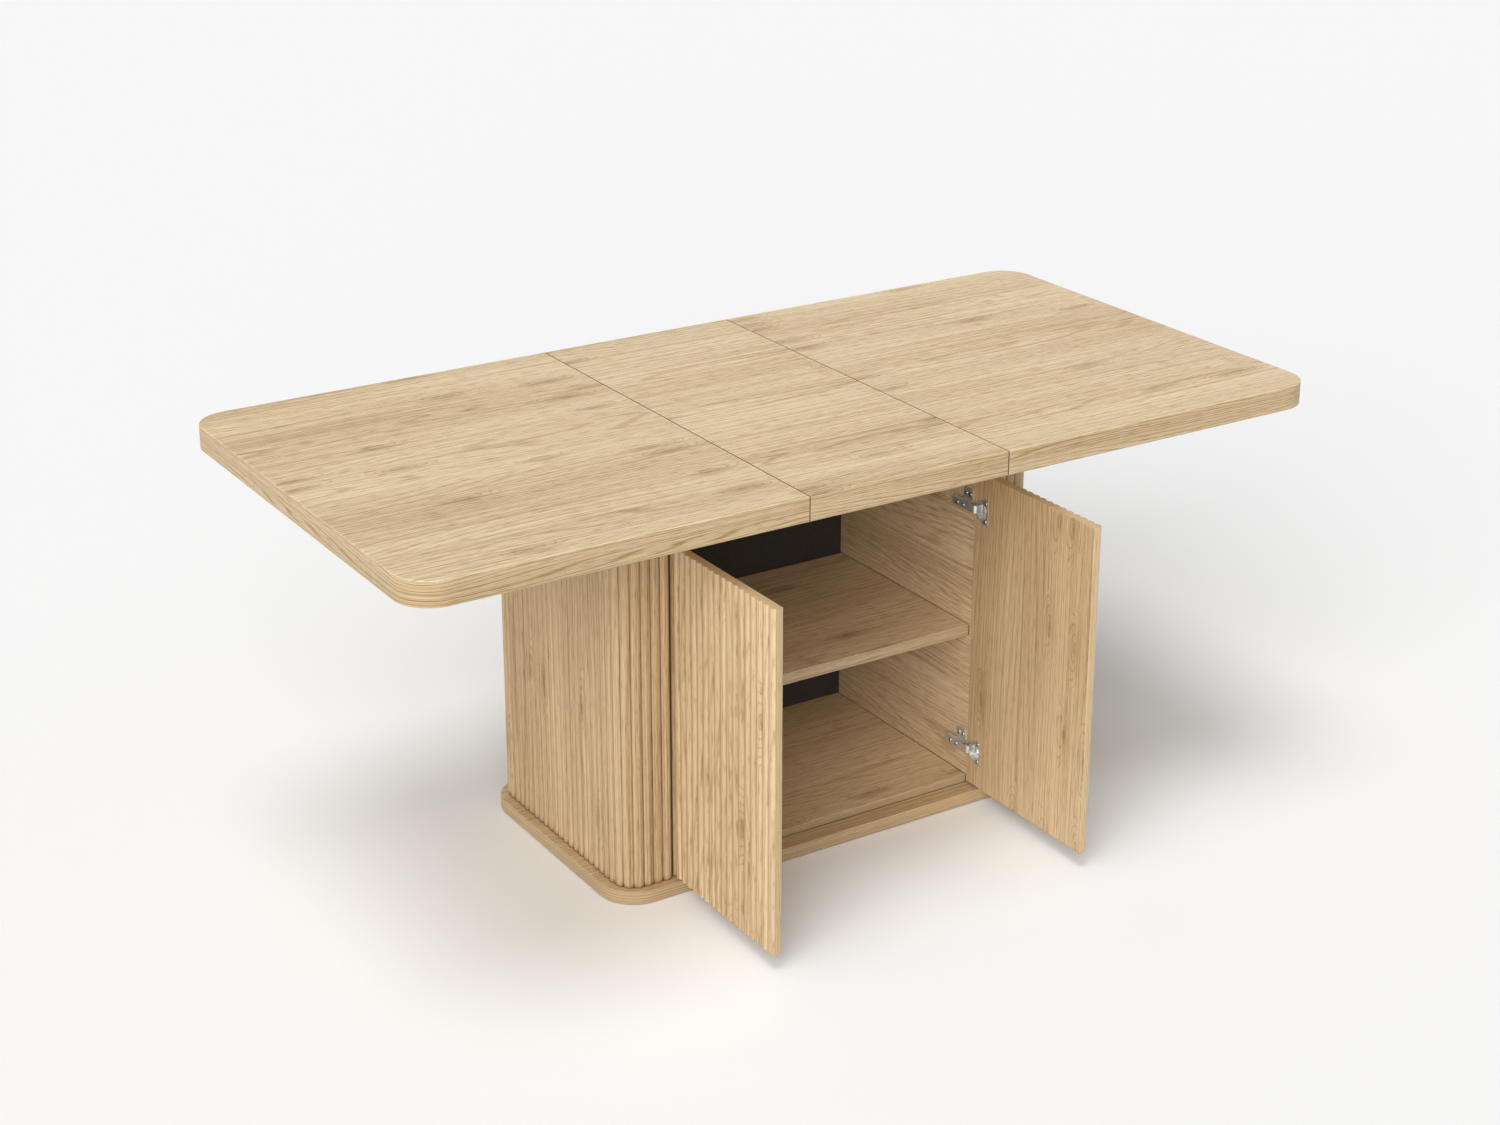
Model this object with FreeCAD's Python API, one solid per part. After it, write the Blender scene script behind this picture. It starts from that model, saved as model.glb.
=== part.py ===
import FreeCAD, Part
import math
import os

os.makedirs("parts", exist_ok=True)
Vector = FreeCAD.Vector

# Table top: three boards in a row, the middle one dropped in between two sliding leaves
table_length = 1800.0
table_width = 900.0
table_height = 776.0
top_thickness = 44.0
centre_leaf_length = 400.0
seam_gap = 2.0
centre_leaf_relief = 0.4
top_corner_radius = 65.0
top_edge_round = 2.5

# Plinth board that stands on the floor
plinth_length = 897.0
plinth_width = 497.0
plinth_thickness = 25.0
plinth_corner_radius = 70.0
plinth_edge_round = 1.5

# Two fluted columns: a bent panel each, faced with half-round flutes
side_margin = 17.5
front_margin = 14.5
column_corner_radius = 45.0
column_flute_count = 33
flute_depth = 4.2
shell_thickness = 9.0
column_face_width = 97.5
top_clearance = 3.0
stile_size = 18.0
rib_thickness = 18.0

# Carcass boards between the columns
wall_thickness = 17.0
wall_edge_gap = 0.5
floor_thickness = 15.0
floor_side_gap = 1.2
back_thickness = 15.0
back_gap = 1.5
lining_thickness = 3.0
board_edge_round = 1.0
panel_thickness = 18.0
panel_corner_radius = 30.0
panel_side_gap = 0.5
apron_thickness = 18.0
apron_height = 81.0
apron_end_gap = 1.5

# Shelf on four pins
shelf_thickness = 21.0
shelf_height_share = 0.465
shelf_side_gap = 0.8
shelf_front_setback = 5.0
shelf_back_gap = 8.0
shelf_pin_radius = 2.5
shelf_pin_grip = 9.0
shelf_pin_reach = 8.0
shelf_pin_inset = 50.0

# Doors
door_thickness = 18.0
door_flute_count = 18
door_foot_gap = 4.0
door_head_gap = 3.0
door_edge_gap = 2.0
door_meeting_gap = 1.6
door_edge_round = 1.0

# Cup hinges: the pin lies inside the cup, the arm reaches it through the mouth of the cup
hinge_end_distance = 70.0
pin_inset = 9.4
pin_depth = 9.0
pin_radius = 1.2
pin_running_gap = 0.08
pin_half_length = 12.2
swing_clearance = 1.0
cup_radius = 17.5
cup_wall = 1.0
cup_floor = 0.8
cup_depth = 12.4
cup_inset = 21.0
rim_overlap = 1.5
rim_thickness = 1.2
ear_inset = 31.5
ear_width = 15.0
ear_height = 48.0
ear_round = 4.0
arm_height = 12.0
arm_width = 15.0
arm_sheet = 1.6
arm_edge_round = 1.5
arm_length = 50.0
arm_front_setback = 1.5
neck_width = 14.0
neck_sheet = 2.0
neck_bend = 5.0
neck_overlap = 5.0
eye_radius = 2.2
plate_sheet = 2.0
plate_width = 25.0
plate_rise = 30.0
plate_drop = 12.0
plate_round = 4.0
plate_front_setback = 5.0
rail_width = 9.0
rail_length = 40.0

# Extension slides: lipped tracks on the carcass, hat-section runners under the leaves
slide_height = 13.0
track_width = 45.0
track_height = 10.0
track_sheet = 1.5
track_lip = 7.0
track_end_gap = 5.8
track_end_spare = 30.0
release_travel = 30.0
release_stop_gap = 7.0
runner_web_width = 24.0
runner_foot_reach = 19.0
runner_foot_lift = 1.0
runner_length = 400.0
glide_length = 30.0
glide_gap = 0.2
glide_reach = 20.4
glide_leg_gap = 1.0

# Battens that the centre leaf lies on
rest_width = 30.0
rest_gap = 0.2

# Fasteners
board_screw_radius = 2.5
board_screw_head = 5.0
board_screw_length = 45.0
track_screw_radius = 1.75
track_screw_head = 3.5
track_screw_length = 14.0
runner_screw_length = 20.0
hinge_screw_radius = 1.75
hinge_screw_head = 3.4
hinge_screw_length = 10.0
arm_screw_radius = 2.0
arm_screw_head = 3.2
arm_screw_length = 8.0
screw_head_height = 1.4
recess_width = 0.9
recess_depth = 0.7
recess_share = 0.7
dowel_radius = 4.0
dowel_half_length = 15.0
cut_over = 5.0

# Shares that place repeated pieces along or across what they hold
right_lane_share = 0.70
left_lane_share = 0.44
rest_lane_share = 0.90
rest_length_share = 0.75
track_screw_shares = (0.05, 0.28, 0.5, 0.72, 0.95)
runner_screw_shares = (0.15, 0.5, 0.88)
glide_shares = (0.08, 0.92)
panel_screw_shares = (-0.9, -0.19, 0.19, 0.9)
dowel_shares = (-0.7, 0.0, 0.7)
rib_height_shares = (0.0, 0.5, 1.0)
arm_screw_shares = (0.35, 0.8)
plate_screw_share = 0.24
plate_screw_rise_share = 0.66
ear_screw_share = 0.36

# Levels and faces worked out from the driving sizes
underside = table_height - top_thickness
column_top = underside - top_clearance
panel_top = underside - slide_height
wall_top = panel_top - panel_thickness
plinth_top = plinth_thickness
seam = centre_leaf_length / 2
crest_x = plinth_length / 2 - side_margin
crest_y = plinth_width / 2 - front_margin
groove_x = crest_x - flute_depth
groove_y = crest_y - flute_depth
groove_radius = column_corner_radius - flute_depth
core_x = groove_x - shell_thickness
core_y = groove_y - shell_thickness
core_radius = groove_radius - shell_thickness
column_end = crest_x - column_face_width
wall_out = column_end - wall_edge_gap
wall_in = wall_out - wall_thickness
back_in = groove_y - back_thickness
right_lane = right_lane_share * back_in
left_lane = left_lane_share * back_in
rest_lane = rest_lane_share * back_in
rest_length = rest_length_share * centre_leaf_length
track_outer_reach = core_x - track_end_gap
runner_outer_reach = track_outer_reach - release_travel - release_stop_gap
runner_inner_reach = runner_length - runner_outer_reach
track_inner_reach = runner_inner_reach + seam + track_end_spare

# The hinge pin fixes where the door hangs, and how far back the walls start
door_edge = column_end - door_edge_gap
door_width = door_edge - door_meeting_gap / 2
door_base = door_thickness - flute_depth
door_bottom = plinth_top + door_foot_gap
apron_bottom = column_top - apron_height
door_top = apron_bottom - door_head_gap
door_height = door_top - door_bottom
pin_x = door_edge - pin_inset
pin_y = door_thickness - pin_depth - crest_y
door_face_x = pin_x - pin_depth
door_edge_y = pin_y + pin_inset
wall_front = pin_y + math.hypot(pin_inset, pin_depth) + swing_clearance
hinge_levels = (door_bottom + hinge_end_distance, door_top - hinge_end_distance)


def box(x_range, y_range, z_range):
    """Box between two values on each axis, given in either order."""
    low = Vector(min(x_range), min(y_range), min(z_range))
    high = Vector(max(x_range), max(y_range), max(z_range))
    size = high - low
    return Part.makeBox(size.x, size.y, size.z, low)


def upright_edges(solid):
    """Edges of a solid that run straight up."""
    return [edge for edge in solid.Edges if abs(edge.tangentAt(edge.FirstParameter).z) > 1 - 1e-6]


def rounded_slab(half_x, half_y, radius, bottom, top):
    """Slab centred on the origin with rounded corners in plan."""
    slab = box((-half_x, half_x), (-half_y, half_y), (bottom, top))
    return slab.makeFillet(radius, upright_edges(slab))


def eased(slab, radius):
    """The same slab with its top and bottom edges rounded over."""
    limits = slab.BoundBox
    middle = (limits.ZMin + limits.ZMax) / 2
    reach = limits.ZLength / 2
    edges = [edge for edge in slab.Edges if abs(abs(edge.CenterOfMass.z - middle) - reach) < reach * 1e-6]
    return slab.makeFillet(radius, edges)


def front_eased(board):
    """The same board with the edges of its front face rounded over."""
    front = board.BoundBox.YMin
    edges = [edge for edge in board.Edges if abs(edge.BoundBox.YMax - front) < board_edge_round / 2]
    return board.makeFillet(board_edge_round, edges)


def rod(start, direction, radius, length):
    """Round bar from a point along a direction."""
    return Part.makeCylinder(radius, length, start, direction)


def screw(seat, direction, radius, head_radius, length):
    """Pan-head screw: the head stands on the seat, and the shank goes on along the direction."""
    head = rod(seat - direction * screw_head_height, direction, head_radius, screw_head_height)
    return head.fuse(rod(seat, direction, radius, length)).removeSplitter()


def crossed(fastener, seat):
    """A hinge screw, which points along X, with a cross recess cut into its head."""
    faces = (seat.x - screw_head_height, seat.x - screw_head_height + recess_depth)
    half_width = recess_width / 2
    reach = recess_share * hinge_screw_head
    across = box(faces, (seat.y - reach, seat.y + reach), (seat.z - half_width, seat.z + half_width))
    upright = box(faces, (seat.y - half_width, seat.y + half_width), (seat.z - reach, seat.z + reach))
    return fastener.cut(across.fuse(upright))


def mirrored(shape):
    """The same piece on the other side of the table."""
    return shape.mirror(Vector(0, 0, 0), Vector(1, 0, 0))


def drilled(shape, pieces):
    """A board with room cut for the pieces that sit in it."""
    return shape.cut(Part.makeCompound(pieces))


def save(name, pieces):
    """Write one node, a single solid or a group of like solids."""
    shape = pieces[0] if len(pieces) == 1 else Part.makeCompound(pieces)
    shape.exportStep("parts/" + name + ".step")


def save_pair(name, pieces):
    """Write a right-hand node and its left-hand mirror image."""
    save("right_" + name, pieces)
    save("left_" + name, [mirrored(piece) for piece in pieces])


# Slides of the right leaf: two lipped tracks, two hat-section runners, nylon glides and screws
def lane_profile(points, lane, level):
    """Closed outline across a slide, from half-profile points mirrored about the lane."""
    right_half = [Vector(0, lane + y, level + z) for y, z in points]
    left_half = [Vector(0, lane - y, level + z) for y, z in reversed(points)]
    outline = right_half + left_half
    return Part.Face(Part.makePolygon(outline + outline[:1]))


track_half = track_width / 2
track_points = (
    (0, 0),
    (track_half, 0),
    (track_half, track_height),
    (track_half - track_lip, track_height),
    (track_half - track_lip, track_height - track_sheet),
    (track_half - track_sheet, track_height - track_sheet),
    (track_half - track_sheet, track_sheet),
    (0, track_sheet),
)
web_half = runner_web_width / 2
foot_low = track_sheet + runner_foot_lift
foot_high = foot_low + track_sheet
runner_points = (
    (0, slide_height),
    (web_half, slide_height),
    (web_half, foot_high),
    (runner_foot_reach, foot_high),
    (runner_foot_reach, foot_low),
    (web_half - track_sheet, foot_low),
    (web_half - track_sheet, slide_height - track_sheet),
    (0, slide_height - track_sheet),
)
track_run = track_outer_reach + track_inner_reach
runner_run = runner_outer_reach + runner_inner_reach
down = Vector(0, 0, -1)
up = Vector(0, 0, 1)


def slide_pieces(lane):
    """Track, runner, glides and screws of one slide under the right leaf."""
    profile = lane_profile(track_points, lane, panel_top)
    track = profile.extrude(Vector(track_run, 0, 0))
    track.translate(Vector(-track_inner_reach, 0, 0))
    profile = lane_profile(runner_points, lane, panel_top)
    runner = profile.extrude(Vector(runner_run, 0, 0))
    runner.translate(Vector(-runner_inner_reach, 0, 0))
    track_screws = []
    for share in track_screw_shares:
        seat = Vector(share * track_run - track_inner_reach, lane, panel_top + track_sheet)
        track_screws.append(screw(seat, down, track_screw_radius, track_screw_head, track_screw_length))
    runner_screws = []
    for share in runner_screw_shares:
        along = seam + share * (runner_outer_reach - seam)
        seat = Vector(along, lane, underside - track_sheet)
        runner_screws.append(screw(seat, up, track_screw_radius, track_screw_head, runner_screw_length))
    glides = []
    glide_low = panel_top + track_sheet + glide_gap
    glide_high = panel_top + track_height - track_sheet - glide_gap
    for share in glide_shares:
        middle = share * runner_run - runner_inner_reach
        for side in (-1, 1):
            pad = box(
                (middle - glide_length / 2, middle + glide_length / 2),
                (lane + side * (web_half + glide_leg_gap), lane + side * glide_reach),
                (glide_low, glide_high),
            )
            glides.append(pad.cut(runner))
    return drilled(track, track_screws), drilled(runner, runner_screws), track_screws, runner_screws, glides


def slide_set(lane_offset):
    """The front and back slide of one leaf, as lists of like pieces."""
    sets = [slide_pieces(-lane_offset), slide_pieces(lane_offset)]
    tracks = [pieces[0] for pieces in sets]
    runners = [pieces[1] for pieces in sets]
    track_screws = sets[0][2] + sets[1][2]
    runner_screws = sets[0][3] + sets[1][3]
    glides = sets[0][4] + sets[1][4]
    return tracks, runners, track_screws, runner_screws, glides


right_slides = slide_set(right_lane)
left_slides = [[mirrored(piece) for piece in pieces] for pieces in slide_set(left_lane)]
save("right_slide_tracks", right_slides[0])
save("left_slide_tracks", left_slides[0])
save("right_leaf_runners", right_slides[1])
save("left_leaf_runners", left_slides[1])
save("right_runner_screws", right_slides[3])
save("left_runner_screws", left_slides[3])
save("right_runner_glides", right_slides[4])
save("left_runner_glides", left_slides[4])
save("track_screws", right_slides[2] + left_slides[2])

# Table top boards, cut from one rounded slab at the two seams
top_slab = rounded_slab(table_length / 2, table_width / 2, top_corner_radius, underside, table_height)
top_slab = eased(top_slab, top_edge_round)
board_end = table_length / 2 + cut_over
board_side = table_width / 2 + cut_over
board_levels = (underside - cut_over, table_height + cut_over)
outer_part = box((seam + seam_gap / 2, board_end), (-board_side, board_side), board_levels)
leaf_underside = underside + centre_leaf_relief
leaf_levels = (leaf_underside, table_height + cut_over)
middle_part = box((seam_gap / 2 - seam, seam - seam_gap / 2), (-board_side, board_side), leaf_levels)
right_board = top_slab.common(outer_part)
save("right_leaf", [drilled(right_board, right_slides[3])])
save("left_leaf", [drilled(mirrored(right_board), left_slides[3])])
save("centre_leaf", [top_slab.common(middle_part)])

# Plinth, with dowels that locate the two walls
plinth_slab = rounded_slab(plinth_length / 2, plinth_width / 2, plinth_corner_radius, 0, plinth_top)
dowel_x = (wall_in + wall_out) / 2
dowels = []
for side in (-1, 1):
    for share in dowel_shares:
        foot = Vector(side * dowel_x, share * back_in, plinth_top - dowel_half_length)
        dowels.append(rod(foot, up, dowel_radius, 2 * dowel_half_length))
save("plinth", [drilled(eased(plinth_slab, plinth_edge_round), dowels)])
save("plinth_dowels", dowels)

# Fluted columns: bent panel, flutes along its outline, ribs and stiles behind it
outer_core = rounded_slab(groove_x, groove_y, groove_radius, plinth_top, column_top)
inner_core = rounded_slab(core_x, core_y, core_radius, plinth_top, column_top)
right_side = box((column_end, crest_x + cut_over), (-crest_y, crest_y), (plinth_top, column_top))
save_pair("column_panel", [outer_core.cut(inner_core).common(right_side)])

corner_x = groove_x - groove_radius
corner_y = groove_y - groove_radius
quarter_turn = groove_radius * math.pi / 2
front_stop = corner_x - column_end
front_turn_stop = front_stop + quarter_turn
side_stop = front_turn_stop + 2 * corner_y
back_turn_stop = side_stop + quarter_turn
outline_length = back_turn_stop + front_stop


def outline_at(travel):
    """Point and outward direction on the right panel's face, a distance along it from its front end."""
    if travel <= front_stop:
        return Vector(column_end + travel, -groove_y, plinth_top), Vector(0, -1, 0)
    if travel <= front_turn_stop:
        turn = (travel - front_stop) / groove_radius
        outward = Vector(math.sin(turn), -math.cos(turn), 0)
        return Vector(corner_x, -corner_y, plinth_top) + outward * groove_radius, outward
    if travel <= side_stop:
        return Vector(groove_x, travel - front_turn_stop - corner_y, plinth_top), Vector(1, 0, 0)
    if travel <= back_turn_stop:
        turn = (travel - side_stop) / groove_radius
        outward = Vector(math.cos(turn), math.sin(turn), 0)
        return Vector(corner_x, corner_y, plinth_top) + outward * groove_radius, outward
    return Vector(corner_x - (travel - back_turn_stop), groove_y, plinth_top), Vector(0, 1, 0)


def column_flute(start, end):
    """One half-round flute: an arc over its width, and a back that follows the bent panel."""
    crest, outward = outline_at((start + end) / 2)
    edges = [Part.Arc(outline_at(start)[0], crest + outward * flute_depth, outline_at(end)[0]).toShape()]
    bends = [stop for stop in (back_turn_stop, side_stop, front_turn_stop, front_stop) if start < stop < end]
    stops = [end] + bends + [start]
    for near, far in zip(stops, stops[1:]):
        middle = (near + far) / 2
        near_point = outline_at(near)[0]
        far_point = outline_at(far)[0]
        if front_stop < middle < front_turn_stop or side_stop < middle < back_turn_stop:
            edges.append(Part.Arc(near_point, outline_at(middle)[0], far_point).toShape())
        else:
            edges.append(Part.LineSegment(near_point, far_point).toShape())
    face = Part.Face(Part.Wire(edges))
    return face.extrude(Vector(0, 0, column_top - plinth_top))


column_pitch = outline_length / column_flute_count
flute_starts = [index * column_pitch for index in range(column_flute_count)]
flutes = [column_flute(start, start + column_pitch) for start in flute_starts]
save_pair("column_flutes", flutes)

stiles = []
for side in (-1, 1):
    stiles.append(
        box(
            (wall_out, wall_out + stile_size),
            (side * core_y, side * (core_y - stile_size)),
            (plinth_top, wall_top),
        )
    )
save_pair("column_stiles", stiles)

inside_column = box((wall_out, crest_x), (-crest_y, crest_y), (plinth_top, column_top))
rib_room = drilled(inner_core.common(inside_column), stiles)
ribs = []
for share in rib_height_shares:
    rib_bottom = plinth_top + share * (wall_top - rib_thickness - plinth_top)
    rib_layer = box((wall_out, crest_x), (-crest_y, crest_y), (rib_bottom, rib_bottom + rib_thickness))
    ribs.append(rib_room.common(rib_layer))
save_pair("column_ribs", ribs)

# Shelf and the pins that carry it
floor_top = plinth_top + floor_thickness
shelf_height = floor_top + shelf_height_share * (door_top - floor_top)
shelf_front = wall_front + shelf_front_setback
shelf_back = back_in - shelf_back_gap
shelf_half = wall_in - shelf_side_gap
shelf_levels = (shelf_height, shelf_height + shelf_thickness)
save("shelf", [front_eased(box((-shelf_half, shelf_half), (shelf_front, shelf_back), shelf_levels))])
right_pins = []
for pin_place in (shelf_front + shelf_pin_inset, shelf_back - shelf_pin_inset):
    tip = Vector(wall_in - shelf_pin_reach, pin_place, shelf_height - shelf_pin_radius)
    right_pins.append(rod(tip, Vector(1, 0, 0), shelf_pin_radius, shelf_pin_reach + shelf_pin_grip))
save("shelf_pins", right_pins + [mirrored(pin) for pin in right_pins])

# Cup hinges of the right door, drawn with the door open square to the front
inward = Vector(1, 0, 0)
cup_y = door_edge_y - cup_inset
ear_y = door_edge_y - ear_inset
arm_face = wall_in - arm_height
arm_front = wall_front + arm_front_setback
arm_back = arm_front + arm_length
plate_face = wall_in - plate_sheet
plate_front = wall_front + plate_front_setback
plate_middle = plate_front + plate_width / 2


def plate_with_rounds(x_range, middle, width, height, level, radius):
    """Upright plate facing along X, with rounded corners."""
    plate = box(x_range, (middle - width / 2, middle + width / 2), (level - height / 2, level + height / 2))
    edges = [edge for edge in plate.Edges if abs(edge.tangentAt(edge.FirstParameter).x) > 1 - 1e-6]
    return plate.makeFillet(radius, edges)


def hinge_at(level):
    """Cup, pin, arm, mounting plate and the screws of one hinge, by name."""
    pieces = {}
    pin = rod(Vector(pin_x, pin_y, level - pin_half_length), up, pin_radius, 2 * pin_half_length)
    cup = rod(Vector(door_face_x, cup_y, level), inward, cup_radius, cup_depth)
    rim_start = Vector(door_face_x - rim_thickness, cup_y, level)
    cup = cup.fuse(rod(rim_start, inward, cup_radius + rim_overlap, rim_thickness))
    ear_faces = (door_face_x - rim_thickness, door_face_x)
    cup = cup.fuse(plate_with_rounds(ear_faces, ear_y, ear_width, ear_height, level, ear_round))
    hollow = rod(rim_start, inward, cup_radius - cup_wall, rim_thickness + cup_depth - cup_floor)
    cup_screws = []
    for side in (-1, 1):
        seat = Vector(door_face_x - rim_thickness, ear_y, level + side * ear_screw_share * ear_height)
        fastener = screw(seat, inward, hinge_screw_radius, hinge_screw_head, hinge_screw_length)
        cup_screws.append(crossed(fastener, seat))
    pieces["cup"] = drilled(cup.cut(hollow).removeSplitter(), cup_screws + [pin])
    pieces["pin"] = pin
    pieces["cup_screws"] = cup_screws

    neck_levels = (level - neck_width / 2, level + neck_width / 2)
    neck_run = (pin_y - neck_sheet / 2, arm_front + neck_overlap)
    neck_side = box((arm_face, arm_face + neck_sheet), neck_run, neck_levels)
    neck_end = box((arm_face, pin_x), (pin_y - neck_sheet / 2, pin_y + neck_sheet / 2), neck_levels)
    eye = rod(Vector(pin_x, pin_y, level - neck_width / 2), up, eye_radius, neck_width)
    neck = neck_side.fuse(neck_end).removeSplitter()
    outer_corner = Vector(arm_face, pin_y - neck_sheet / 2, level)
    inner_corner = Vector(arm_face + neck_sheet, pin_y + neck_sheet / 2, level)
    for corner, bend in ((inner_corner, neck_bend), (outer_corner, neck_bend + neck_sheet)):
        bend_edges = []
        for edge in upright_edges(neck):
            if edge.CenterOfMass.distanceToPoint(corner) < pin_radius / 2:
                bend_edges.append(edge)
        neck = neck.makeFillet(bend, bend_edges)
    neck = neck.fuse(eye)
    eye_bore_radius = pin_radius + pin_running_gap
    eye_bore = rod(Vector(pin_x, pin_y, level - neck_width), up, eye_bore_radius, 2 * neck_width)
    arm_levels = (level - arm_width / 2, level + arm_width / 2)
    room_levels = (level - arm_width / 2 + arm_sheet, level + arm_width / 2 - arm_sheet)
    channel = box((arm_face, plate_face), (arm_front, arm_back), arm_levels)
    long_edges = []
    for edge in channel.Edges:
        if edge.BoundBox.YLength > arm_length / 2 and edge.BoundBox.XMax < arm_face + arm_sheet:
            long_edges.append(edge)
    channel = channel.makeFillet(arm_edge_round, long_edges)
    room = box((arm_face + neck_sheet, plate_face), (arm_front, arm_back), room_levels)
    arm = channel.cut(room).fuse(neck).cut(eye_bore).removeSplitter()

    plate_faces = (plate_face, wall_in)
    plate_level = level + (plate_rise - plate_drop) / 2
    plate_height = plate_rise + plate_drop
    plate = plate_with_rounds(plate_faces, plate_middle, plate_width, plate_height, plate_level, plate_round)
    rail_levels = (level - rail_width / 2, level + rail_width / 2)
    rail_end = plate_front + rail_length
    rail = box((arm_face + neck_sheet, wall_in), (plate_front, rail_end), rail_levels)
    plate = plate.fuse(rail).removeSplitter()
    plate_screws = []
    for side in (-1, 1):
        across = side * plate_screw_share * plate_width
        seat = Vector(plate_face, plate_middle + across, level + plate_screw_rise_share * plate_rise)
        fastener = screw(seat, inward, hinge_screw_radius, hinge_screw_head, hinge_screw_length)
        plate_screws.append(crossed(fastener, seat))
    arm_screws = []
    for share in arm_screw_shares:
        seat = Vector(arm_face, plate_front + share * rail_length, level)
        fastener = screw(seat, inward, arm_screw_radius, arm_screw_head, arm_screw_length)
        arm_screws.append(crossed(fastener, seat))
    pieces["arm"] = drilled(arm, arm_screws)
    pieces["plate"] = drilled(plate, plate_screws + arm_screws)
    pieces["plate_screws"] = plate_screws
    pieces["arm_screws"] = arm_screws
    return pieces


hinges = [hinge_at(level) for level in hinge_levels]
save_pair("hinge_cups", [hinge["cup"] for hinge in hinges])
save_pair("hinge_pins", [hinge["pin"] for hinge in hinges])
save_pair("hinge_arms", [hinge["arm"] for hinge in hinges])
save_pair("hinge_plates", [hinge["plate"] for hinge in hinges])
cup_screws = [piece for hinge in hinges for piece in hinge["cup_screws"]]
plate_screws = [piece for hinge in hinges for piece in hinge["plate_screws"]]
arm_screws = [piece for hinge in hinges for piece in hinge["arm_screws"]]
save_pair("cup_screws", cup_screws)
save_pair("plate_screws", plate_screws)
save_pair("arm_screws", arm_screws)

# Doors: a board with half-round flutes on its outer face, bored for the cups
door_pitch = door_width / door_flute_count


def door_point(travel, depth):
    """Point of the right door's outline: travel from its hinge edge, depth out from its inner face."""
    return Vector(door_face_x + depth, door_edge_y - travel, door_bottom)


door_edges = []
for index in range(door_flute_count):
    start = door_point(index * door_pitch, door_base)
    crest = door_point((index + 1 / 2) * door_pitch, door_thickness)
    end = door_point((index + 1) * door_pitch, door_base)
    door_edges.append(Part.Arc(start, crest, end).toShape())
door_back = [
    door_point(door_width, door_base),
    door_point(door_width, 0),
    door_point(0, 0),
    door_point(0, door_base),
]
for near, far in zip(door_back, door_back[1:]):
    door_edges.append(Part.LineSegment(near, far).toShape())
door_board = Part.Face(Part.Wire(door_edges)).extrude(Vector(0, 0, door_height))
inner_edges = [edge for edge in door_board.Edges if edge.BoundBox.XMax < door_face_x + door_edge_round]
door_board = door_board.makeFillet(door_edge_round, inner_edges)
cup_bores = [rod(Vector(door_face_x, cup_y, level), inward, cup_radius, cup_depth) for level in hinge_levels]
save_pair("door", [drilled(door_board, cup_bores + cup_screws)])

# Carcass boards: walls, floor, back and its lining, top panel and the apron over the doors
panel_screws = []
for side in (-1, 1):
    for share in panel_screw_shares:
        seat = Vector(side * dowel_x, share * back_in, panel_top)
        panel_screws.append(screw(seat, down, board_screw_radius, board_screw_head, board_screw_length))
save("panel_screws", panel_screws)
right_wall = front_eased(box((wall_in, wall_out), (wall_front, back_in), (plinth_top, wall_top)))
wall_cuts = [right_pins, plate_screws, arm_screws, panel_screws, dowels]
save_pair("wall", [drilled(right_wall, [piece for group in wall_cuts for piece in group])])
floor_half = wall_in - floor_side_gap
floor_board = box((-floor_half, floor_half), (wall_front, back_in), (plinth_top, floor_top))
save("floor_panel", [front_eased(floor_board)])
back_half = column_end - back_gap
save("back_panel", [box((-back_half, back_half), (back_in, groove_y), (plinth_top, column_top))])
lining_front = back_in - lining_thickness
save("back_lining", [box((-wall_in, wall_in), (lining_front, back_in), (floor_top, wall_top))])
panel_half = core_x - panel_side_gap
top_panel = box((-panel_half, panel_half), (wall_front, back_in), (wall_top, panel_top))
top_panel = top_panel.makeFillet(panel_corner_radius, upright_edges(top_panel))
save("top_panel", [drilled(top_panel, panel_screws + right_slides[2] + left_slides[2])])
apron_half = column_end - apron_end_gap
apron_front = wall_front - apron_thickness
apron = box((-apron_half, apron_half), (apron_front, wall_front), (apron_bottom, column_top))
save("front_apron", [front_eased(apron)])

# Battens on the top panel that the centre leaf lies on
rests = []
for side in (-1, 1):
    lane = side * rest_lane
    rests.append(
        box(
            (-rest_length / 2, rest_length / 2),
            (lane - rest_width / 2, lane + rest_width / 2),
            (panel_top, leaf_underside - rest_gap),
        )
    )
save("leaf_rests", rests)
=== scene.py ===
import bpy
import math
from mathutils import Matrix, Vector

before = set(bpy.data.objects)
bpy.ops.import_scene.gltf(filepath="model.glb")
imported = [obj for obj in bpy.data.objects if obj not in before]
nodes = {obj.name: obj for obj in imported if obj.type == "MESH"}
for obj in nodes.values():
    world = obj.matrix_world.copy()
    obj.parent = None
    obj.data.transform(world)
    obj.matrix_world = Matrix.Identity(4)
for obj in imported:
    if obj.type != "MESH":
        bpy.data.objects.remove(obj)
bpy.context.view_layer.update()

# Plinth: an oak-finish board that lies on the floor and carries the cupboard. Its grain runs along the table,
# and its edge band has fine lines that follow the edge round the corners. Dowels of plain wood stand in it.
def linear(red, green, blue):
    """A screen colour, 0 to 255, as the linear values that a shader takes."""
    shares = [value / 255 for value in (red, green, blue)]
    return tuple(s / 12.92 if s < 0.04045 else ((s + 0.055) / 1.055) ** 2.4 for s in shares) + (1.0,)


def add_node(tree, kind, inputs, **settings):
    """One shader node. An input is a value, or the output of another node."""
    node = tree.nodes.new(kind)
    for name, value in settings.items():
        setattr(node, name, value)
    for socket, value in inputs.items():
        if isinstance(value, bpy.types.NodeSocket):
            tree.links.new(value, node.inputs[socket])
        else:
            node.inputs[socket].default_value = value
    return node


def maths(tree, operation, first, second=0.0):
    """One sum of two values, as a node's output."""
    return add_node(tree, "ShaderNodeMath", {0: first, 1: second}, operation=operation).outputs[0]


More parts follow.
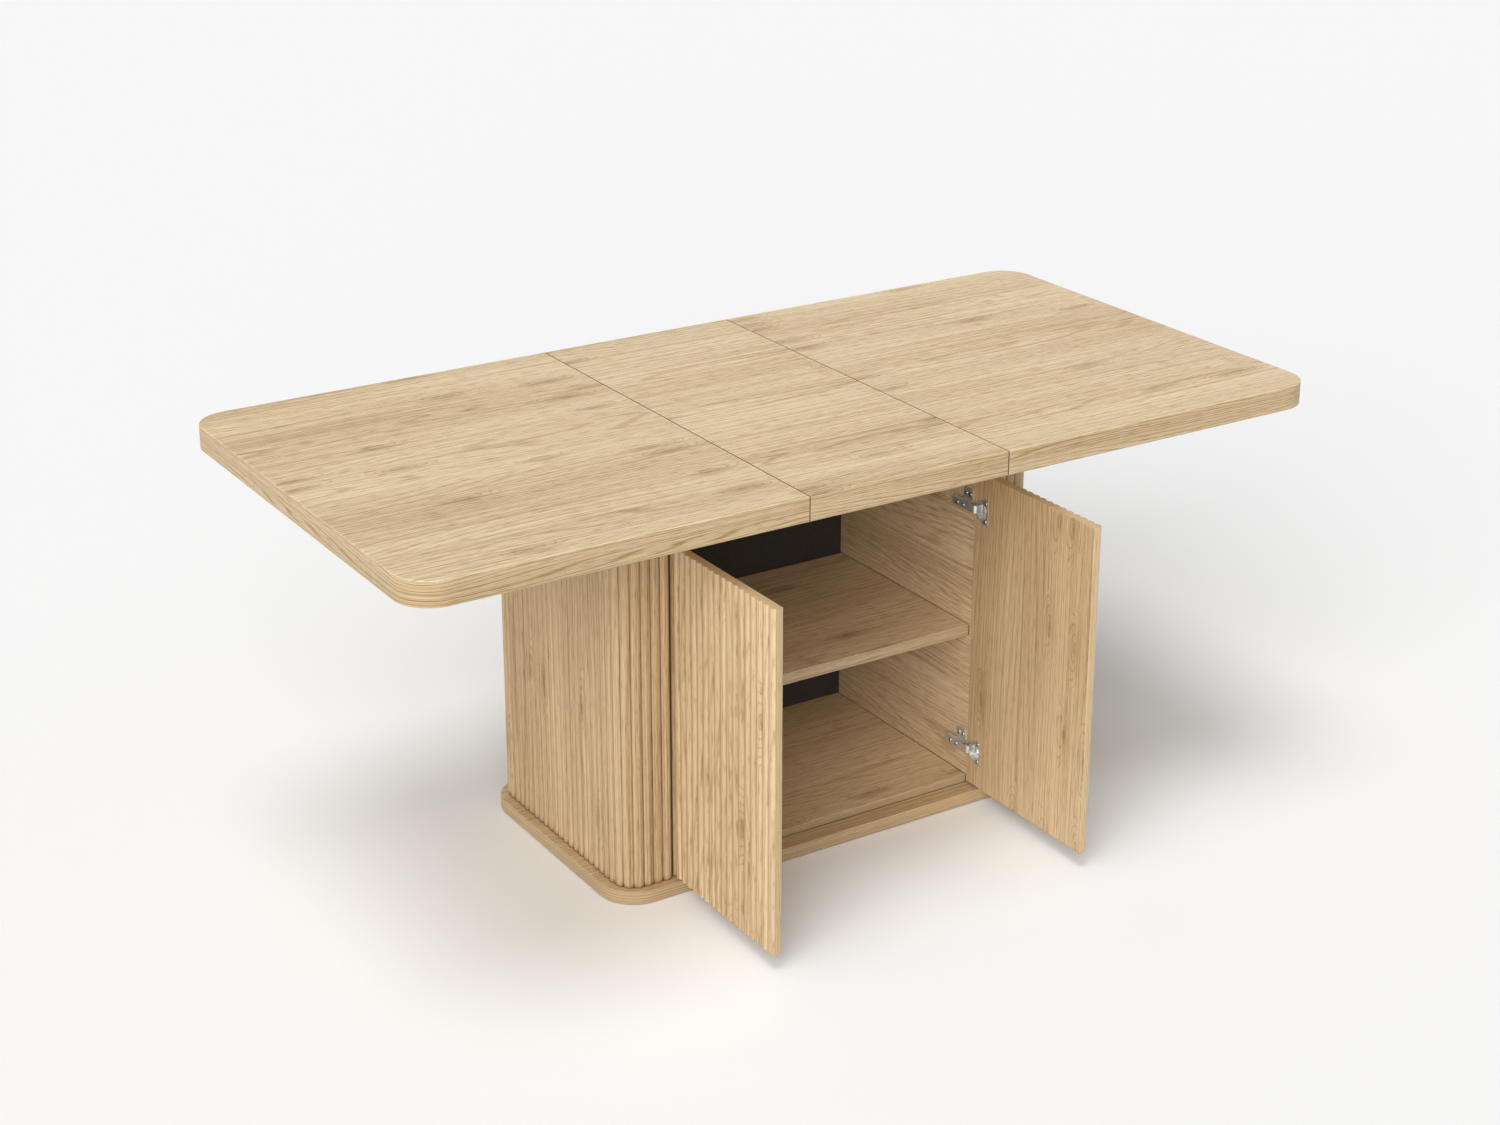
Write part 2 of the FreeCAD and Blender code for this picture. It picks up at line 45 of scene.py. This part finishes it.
def noise(tree, places, stretch, detail=3.0, roughness=0.55):
    """Noise from about -0.5 to 0.5 that changes so many times a metre along each axis."""
    scaled = add_node(tree, "ShaderNodeVectorMath", {0: places, 1: stretch}, operation="MULTIPLY").outputs[0]
    inputs = {"Vector": scaled, "Scale": 1.0, "Detail": detail, "Roughness": roughness}
    return maths(tree, "SUBTRACT", add_node(tree, "ShaderNodeTexNoise", inputs).outputs[0], 0.5)


def new_material(name):
    """A material with its node tree and its shader."""
    material = bpy.data.materials.new(name)
    material.use_nodes = True
    return material, material.node_tree, material.node_tree.nodes["Principled BSDF"]


def scaled_sum(tree, value, weight, base):
    """value times weight plus base, as a node's output."""
    inputs = {0: value, 1: weight, 2: base}
    return add_node(tree, "ShaderNodeMath", inputs, operation="MULTIPLY_ADD").outputs[0]


def ramp(tree, value, low, high, start, end):
    """start below low, end above high, and an even slope between them."""
    return add_node(tree, "ShaderNodeMapRange", {0: value, 1: low, 2: high, 3: start, 4: end}).outputs[0]


def blended(tree, share, first, second, kind="RGBA"):
    """first at share 0, second at share 1, for colours or plain values."""
    sockets = {"RGBA": (6, 7, 2), "FLOAT": (2, 3, 0)}[kind]
    inputs = {0: share, sockets[0]: first, sockets[1]: second}
    return add_node(tree, "ShaderNodeMix", inputs, data_type=kind).outputs[sockets[2]]


def closeness(tree, reach):
    """1 on an open surface, and less the more of it there is within reach, in metres, as in a gap or groove."""
    return add_node(tree, "ShaderNodeAmbientOcclusion", {"Distance": reach}, samples=8).outputs["AO"]


# Painted shade for creases, narrow gaps and flute grooves: the crease colour and how far round each it reaches.
crease_shade_brown = linear(62, 46, 31)
crease_reach = 0.004
groove_reach = 0.012


def oak(name, order, start, pale, dark, figure=1.0, lean=1.0, rim=1.0, groove=0.0, knots=0.15, knot_reach=0.28):
    """Oak finish. order names the axes along the grain, across it and through the board, and start is the place in
    the log that the board is from. Growth lines are thin dark contours of a long smooth noise, so they run straight,
    arch, and close round the knots. Broad bands, streaks and short pores lie over them. figure is how far the lines
    arch and how strong streaks and pores are, and lean carries the figure over flutes and round a bend. On the rim of
    a board the lines follow the edge and lie closer, and its colour is rim times the face's: a darker rim is partly
    the edge band's own tone and partly painted shade for the edges' lower light. groove is how dark the grooves
    between flutes are painted, as painted shade. knots is the share of cells, 200 by 50 mm, that have a knot, and
    knot_reach how far its brown goes, in cells. Narrow gaps, and where boards meet, are darkened as painted shade."""
    material, tree, shader = new_material(name)
    place = add_node(tree, "ShaderNodeTexCoord", {})
    axes = add_node(tree, "ShaderNodeSeparateXYZ", {0: place.outputs["Object"]}).outputs
    along, across, through = [axes["xyz".index(letter)] for letter in order]
    length = along
    width = scaled_sum(tree, through, lean, across)
    face_line, rim_line = 0.30, 0.50
    line_strength = face_line
    if rim:
        least_facing = 0.55
        rim_closer = 2.5
        facing = add_node(tree, "ShaderNodeSeparateXYZ", {0: place.outputs["Normal"]}).outputs
        thin_way = maths(tree, "ABSOLUTE", facing["xyz".index(order[2])])
        on_face = maths(tree, "GREATER_THAN", thin_way, least_facing)
        length = blended(tree, on_face, maths(tree, "ADD", along, across), along, "FLOAT")
        width = blended(tree, on_face, maths(tree, "MULTIPLY", through, rim_closer), width, "FLOAT")
        line_strength = ramp(tree, on_face, 0.0, 1.0, rim_line, face_line)
    flat = add_node(tree, "ShaderNodeCombineXYZ", {0: length, 1: width}).outputs[0]
    flat = add_node(tree, "ShaderNodeVectorMath", {0: flat, 1: start}, operation="ADD").outputs[0]

    bands = noise(tree, flat, (0.7, 7.0, 1.0), 2.0)
    swell = noise(tree, flat, (0.9, 8.0, 1.0), 1.0)
    waver = noise(tree, flat, (1.5, 30.0, 1.0), 2.0)
    streaks = noise(tree, flat, (1.2, 270.0, 1.0), 5.0, 0.72)
    pores = noise(tree, flat, (26.0, 600.0, 1.0), 2.0, 0.6)

    cells_per_metre = (5.0, 20.0, 1.0)
    core_reach, halo_reach = 0.02, 0.4
    cell_place = add_node(tree, "ShaderNodeVectorMath", {0: flat, 1: cells_per_metre}, operation="MULTIPLY")
    cells = add_node(tree, "ShaderNodeTexVoronoi", {"Vector": cell_place.outputs[0], "Scale": 1.0})
    cells.voronoi_dimensions = "2D"
    chance = add_node(tree, "ShaderNodeSeparateXYZ", {0: cells.outputs["Color"]}).outputs[0]
    has_knot = maths(tree, "LESS_THAN", chance, knots)
    if rim:
        has_knot = maths(tree, "MULTIPLY", has_knot, on_face)
    from_middle = cells.outputs["Distance"]
    halo = maths(tree, "MULTIPLY", ramp(tree, from_middle, 0.0, halo_reach, 1.0, 0.0), has_knot)
    knot = maths(tree, "MULTIPLY", ramp(tree, from_middle, core_reach, knot_reach, 1.0, 0.0), has_knot)

    lines_per_metre = 105.0
    arch_lines, waver_lines, knot_lines = 20.0 * figure, 0.5, 5.0
    line_count = maths(tree, "MULTIPLY", width, lines_per_metre)
    line_count = scaled_sum(tree, swell, arch_lines, line_count)
    line_count = scaled_sum(tree, waver, waver_lines, line_count)
    line_count = scaled_sum(tree, halo, knot_lines, line_count)
    rings = maths(tree, "SINE", maths(tree, "MULTIPLY", line_count, 2 * math.pi))
    lines = ramp(tree, rings, 0.5, 1.0, 0.0, 1.0)

    middle_tone = 0.70 + 0.11 * figure
    band_strength, halo_strength = 0.9, 0.25
    streak_strength = 1.6 + 0.8 * figure
    pore_strength = 0.2 + 0.55 * figure
    tone = scaled_sum(tree, bands, band_strength, middle_tone)
    tone = scaled_sum(tree, streaks, streak_strength, tone)
    tone = maths(tree, "SUBTRACT", tone, maths(tree, "MULTIPLY", lines, line_strength))
    tone = maths(tree, "SUBTRACT", tone, ramp(tree, pores, 0.0, 0.2, 0.0, pore_strength))
    tone = scaled_sum(tree, halo, -halo_strength, tone)
    tone = maths(tree, "MINIMUM", maths(tree, "MAXIMUM", tone, 0.0), 1.0)
    colour = blended(tree, tone, dark, pale)
    # Rims take rim times the colour: painted shade for the edges' lower light, partly the edge band's own tone.
    if rim:
        band = add_node(tree, "ShaderNodeVectorMath", {0: colour, "Scale": rim}, operation="SCALE").outputs[0]
        colour = blended(tree, on_face, band, colour)
    brown = (0.50 * dark[0], 0.44 * dark[1], 0.36 * dark[2], 1.0)
    in_streak, between_streaks = 0.75, 0.12
    knot_strength = maths(tree, "MULTIPLY", knot, ramp(tree, streaks, -0.1, 0.08, in_streak, between_streaks))
    colour = blended(tree, knot_strength, colour, brown)
    # Painted shade: the grooves between flutes darken towards brown by how closed in they are.
    if groove:
        colour = blended(tree, ramp(tree, closeness(tree, groove_reach), 0.45, 0.85, groove, 0.0), colour, brown)
    # Painted shade: narrow gaps and where boards meet darken by how closed in they are.
    painted_crease = ramp(tree, closeness(tree, crease_reach), 0.5, 0.66, 0.9, 0.0)
    colour = blended(tree, painted_crease, colour, crease_shade_brown)
    tree.links.new(colour, shader.inputs["Base Color"])
    tree.links.new(scaled_sum(tree, pores, 0.3, 0.46), shader.inputs["Roughness"])
    height = scaled_sum(tree, streaks, 0.4, maths(tree, "MULTIPLY", pores, -1.0))
    bump = add_node(tree, "ShaderNodeBump", {"Height": height, "Strength": 0.15, "Distance": 0.0004}).outputs[0]
    tree.links.new(bump, shader.inputs["Normal"])
    return material


def plain_wood(name, pale, dark):
    """Unfinished wood: speckled pores and soft bands, the same along every axis."""
    material, tree, shader = new_material(name)
    place = add_node(tree, "ShaderNodeTexCoord", {}).outputs["Object"]
    speckle = noise(tree, place, (260.0, 260.0, 260.0), 4.0)
    cloud = noise(tree, place, (14.0, 14.0, 14.0), 2.0)
    tone = scaled_sum(tree, cloud, 0.6, scaled_sum(tree, speckle, 1.6, 0.5))
    tree.links.new(blended(tree, tone, dark, pale), shader.inputs["Base Color"])
    shader.inputs["Roughness"].default_value = 0.75
    bump = add_node(tree, "ShaderNodeBump", {"Height": speckle, "Strength": 0.2, "Distance": 0.0005}).outputs[0]
    tree.links.new(bump, shader.inputs["Normal"])
    return material


def dress(material, *names):
    """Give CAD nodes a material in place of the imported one."""
    for name in names:
        nodes[name].material_slots[0].material = material


board_pale = linear(228, 199, 158)
board_dark = linear(160, 128, 86)
# The plinth's rims are darkened to 0.88: painted shade, partly the edge band's own tone.
dress(oak("plinth_oak", "xyz", (1.7, 0.4, 0.0), board_pale, board_dark, figure=0.4, rim=0.88), "plinth")
raw_wood = plain_wood("raw_wood", linear(214, 190, 152), linear(178, 148, 108))
dress(raw_wood, "plinth_dowels")

# Cupboard between the columns: two walls, a floor panel, a back panel with a thin dark lining, a top panel of plain
# wood that carries the slides, and an apron over the doors. Walls have their grain along the depth.
# Walls, floor panel and shelf are a paler copy of the board oak: painted light, making up for the shade inside the
# cupboard.
inside_pale = linear(240, 213, 174)
inside_dark = linear(178, 146, 103)
# The rims of floor panel and shelf are darkened: painted shade for their place deep under the top.
inside_rim_shade = 0.7
dress(oak("floor_oak", "xyz", (4.1, 2.3, 0.0), inside_pale, inside_dark, rim=inside_rim_shade), "floor_panel")
dress(oak("left_wall_oak", "yzx", (2.9, 5.1, 0.0), inside_pale, inside_dark), "left_wall")
dress(oak("right_wall_oak", "yzx", (7.3, 1.6, 0.0), inside_pale, inside_dark), "right_wall")
dress(oak("back_oak", "zxy", (3.2, 8.4, 0.0), board_pale, board_dark), "back_panel")
dress(oak("apron_oak", "xzy", (6.6, 3.5, 0.0), board_pale, board_dark), "front_apron")
dress(plain_wood("dark_lining", linear(62, 57, 52), linear(30, 27, 25)), "back_lining")
dress(raw_wood, "top_panel")


def metal(name, colour, roughness, brushed, mirror=1.0):
    """Metal with faint scratches. brushed is how strongly they run along the table, and mirror how much of the light
    is reflected as by bare metal, the rest being the haze of a plated finish."""
    material, tree, shader = new_material(name)
    place = add_node(tree, "ShaderNodeTexCoord", {}).outputs["Object"]
    scratches = noise(tree, place, (60.0, 900.0, 900.0), 3.0)
    cloud = noise(tree, place, (45.0, 45.0, 45.0), 2.0)
    dull = tuple(0.85 * value for value in colour[:3]) + (1.0,)
    tree.links.new(blended(tree, ramp(tree, cloud, -0.2, 0.2, 0.0, 1.0), dull, colour), shader.inputs["Base Color"])
    shader.inputs["Metallic"].default_value = mirror
    gloss = scaled_sum(tree, scratches, brushed, scaled_sum(tree, cloud, 0.15, roughness))
    tree.links.new(gloss, shader.inputs["Roughness"])
    bump = add_node(tree, "ShaderNodeBump", {"Height": scratches, "Strength": 0.05 + brushed, "Distance": 0.0001})
    tree.links.new(bump.outputs[0], shader.inputs["Normal"])
    return material


screw_steel = metal("screw_steel", linear(196, 196, 196), 0.32, 0.1)
dress(screw_steel, "panel_screws")

# Columns: a bent panel each, with half-round flutes glued on, and ribs and stiles of plain wood inside. The grain
# stands upright and runs on from flute to flute.
column_pale = linear(216, 187, 146)
column_dark = linear(148, 115, 74)
# How dark the painted shade in the columns' flute grooves is.
column_groove_shade = 0.9
fluted_figure = 0.6
fluted_knots = {"knots": 0.2, "knot_reach": 0.12}
for side, start, lean in (("left", (5.3, 2.2, 0.0), -1.0), ("right", (9.1, 6.4, 0.0), 1.0)):
    column_oak = oak(
        side + "_column_oak", "zxy", start, column_pale, column_dark, fluted_figure, lean,
        rim=0.0, groove=column_groove_shade, **fluted_knots,
    )
    dress(column_oak, side + "_column_flutes", side + "_column_panel")
    dress(raw_wood, side + "_column_ribs", side + "_column_stiles")

# Shelf, an oak-finish board that lies on four steel pins in the walls.
dress(oak("shelf_oak", "xyz", (8.7, 0.9, 0.0), inside_pale, inside_dark, rim=inside_rim_shade), "shelf")
dress(screw_steel, "shelf_pins")

# Cup hinges, two to a door: cup, arm and mounting plate of bright nickel-plated steel, a steel pin and screws.
nickel = metal("nickel", linear(240, 239, 236), 0.32, 0.02, mirror=0.75)
for side in ("left", "right"):
    dress(nickel, side + "_hinge_arms", side + "_hinge_plates", side + "_hinge_cups")
    dress(screw_steel, side + "_hinge_pins")
    dress(screw_steel, side + "_plate_screws", side + "_arm_screws", side + "_cup_screws")

# Doors: a board each with the same half-round flutes on its outer face. The grain stands upright. The right door's
# board is painted a shade paler than the left one's: painted light, making up for the shade on its inner face.
# How dark the painted shade in the doors' flute grooves is.
door_groove_shade = 0.55
doors = (
    ("left", (1.4, 9.2, 0.0), linear(224, 196, 154), linear(162, 129, 86)),
    ("right", (6.8, 4.9, 0.0), linear(229, 200, 158), linear(166, 132, 88)),
)
for side, start, door_pale, door_dark in doors:
    door_oak = oak(
        side + "_door_oak", "zyx", start, door_pale, door_dark, fluted_figure, groove=door_groove_shade, **fluted_knots
    )
    dress(door_oak, side + "_door")

# Extension slides: tracks and runners of folded steel, nylon glides, screws, and two battens of plain wood that
# the centre leaf lies on.
slide_steel = metal("slide_steel", linear(190, 191, 193), 0.34, 0.15)
nylon, nylon_tree, nylon_shader = new_material("nylon")
nylon_place = add_node(nylon_tree, "ShaderNodeTexCoord", {}).outputs["Object"]
nylon_grit = noise(nylon_tree, nylon_place, (700.0, 700.0, 700.0), 2.0)
nylon_tone = ramp(nylon_tree, nylon_grit, -0.3, 0.3, 0.0, 1.0)
nylon_colour = blended(nylon_tree, nylon_tone, linear(214, 213, 206), linear(232, 231, 226))
nylon_tree.links.new(nylon_colour, nylon_shader.inputs["Base Color"])
nylon_tree.links.new(scaled_sum(nylon_tree, nylon_grit, 0.3, 0.5), nylon_shader.inputs["Roughness"])
for side in ("left", "right"):
    dress(slide_steel, side + "_slide_tracks", side + "_leaf_runners")
    dress(nylon, side + "_runner_glides")
    dress(screw_steel, side + "_runner_screws")
dress(screw_steel, "track_screws")
dress(raw_wood, "leaf_rests")

# Table top: left leaf, centre leaf and right leaf, oak-finish boards with the grain along the table. The edge band
# runs round the rim.
top_pale = linear(234, 211, 171)
top_dark = linear(165, 126, 72)
# The leaves' rims are darkened: painted shade for the edges' lower light, partly the edge band's own tone.
top_rim_shade = 0.88
leaves = (("left_leaf", (0.3, 0.2, 0.0)), ("centre_leaf", (3.8, 6.1, 0.0)), ("right_leaf", (8.2, 2.7, 0.0)))
for leaf, start in leaves:
    dress(oak(leaf + "_oak", "xyz", start, top_pale, top_dark, rim=top_rim_shade), leaf)

# Stage: a wide white floor that keeps the shadow, white surroundings, and two soft lamps, one above and a wide one
# low in front from the left.
floor_half = 40.0
floor_drop = 0.0003
floor_shade = (0.70, 0.70, 0.70, 1.0)
pure_white = (1.0, 1.0, 1.0, 1.0)


def seen_rays(tree):
    """1 for the rays that show the background, straight or in metal and glass, and 0 for those that carry light."""
    rays = add_node(tree, "ShaderNodeLightPath", {}).outputs
    seen = maths(tree, "MAXIMUM", rays["Is Camera Ray"], rays["Is Glossy Ray"])
    return maths(tree, "MAXIMUM", seen, rays["Is Transmission Ray"])


floor_mesh = bpy.data.meshes.new("studio_floor")
floor_corners = [
    (x * floor_half, y * floor_half, -floor_drop) for x, y in ((-1, -1), (1, -1), (1, 1), (-1, 1))
]
floor_mesh.from_pydata(floor_corners, [], [(0, 1, 2, 3)])
studio_floor = bpy.data.objects.new("studio_floor", floor_mesh)
bpy.context.scene.collection.objects.link(studio_floor)
floor_paint, floor_tree, floor_shader = new_material("floor_paint")
floor_colour = blended(floor_tree, seen_rays(floor_tree), floor_shade, pure_white)
floor_tree.links.new(floor_colour, floor_shader.inputs["Base Color"])
floor_shader.inputs["Roughness"].default_value = 1.0
floor_shader.inputs["Specular IOR Level"].default_value = 0.0
floor_mesh.materials.append(floor_paint)

sky_light = 0.25
surroundings = bpy.data.worlds.new("surroundings")
bpy.context.scene.world = surroundings
surroundings.use_nodes = True
sky_tree = surroundings.node_tree
sky_shader = sky_tree.nodes["Background"]
sky_shader.inputs["Color"].default_value = pure_white
sky_level = ramp(sky_tree, seen_rays(sky_tree), 0.0, 1.0, sky_light, 1.0)
sky_tree.links.new(sky_level, sky_shader.inputs["Strength"])

lamps = (
    ("upper_lamp", 1.10, 30, (0.20, 0.05, -0.97)),
    ("front_lamp", 2.60, 60, (0.66, 0.63, -0.41)),
)
for lamp_name, strength, spread, direction in lamps:
    lamp_data = bpy.data.lights.new(lamp_name, "SUN")
    lamp_data.energy = strength
    lamp_data.angle = math.radians(spread)
    lamp = bpy.data.objects.new(lamp_name, lamp_data)
    lamp.rotation_mode = "QUATERNION"
    lamp.rotation_quaternion = Vector(direction).to_track_quat("-Z", "Y")
    bpy.context.scene.collection.objects.link(lamp)

# Camera where the photograph was taken from, to the left and above, with a small shift of the lens.
camera_turn = math.radians(-32.30)
camera_height = math.radians(19.62)
camera_distance = 4.596
looked_at = Vector((-0.01417, 0.03392, 0.68634))
backward = Vector(
    (
        math.sin(camera_turn) * math.cos(camera_height),
        -math.cos(camera_turn) * math.cos(camera_height),
        math.sin(camera_height),
    )
)
camera_data = bpy.data.cameras.new("camera")
camera_data.sensor_width = 36.0
camera_data.lens = 61.5
camera_data.shift_x = 0.0023
camera_data.shift_y = -0.08
camera_data.clip_end = 200.0
camera = bpy.data.objects.new("camera", camera_data)
camera.rotation_mode = "QUATERNION"
camera.location = looked_at + backward * camera_distance
camera.rotation_quaternion = (-backward).to_track_quat("-Z", "Y")
bpy.context.scene.collection.objects.link(camera)
bpy.context.scene.camera = camera
bpy.context.scene.view_settings.view_transform = "Standard"
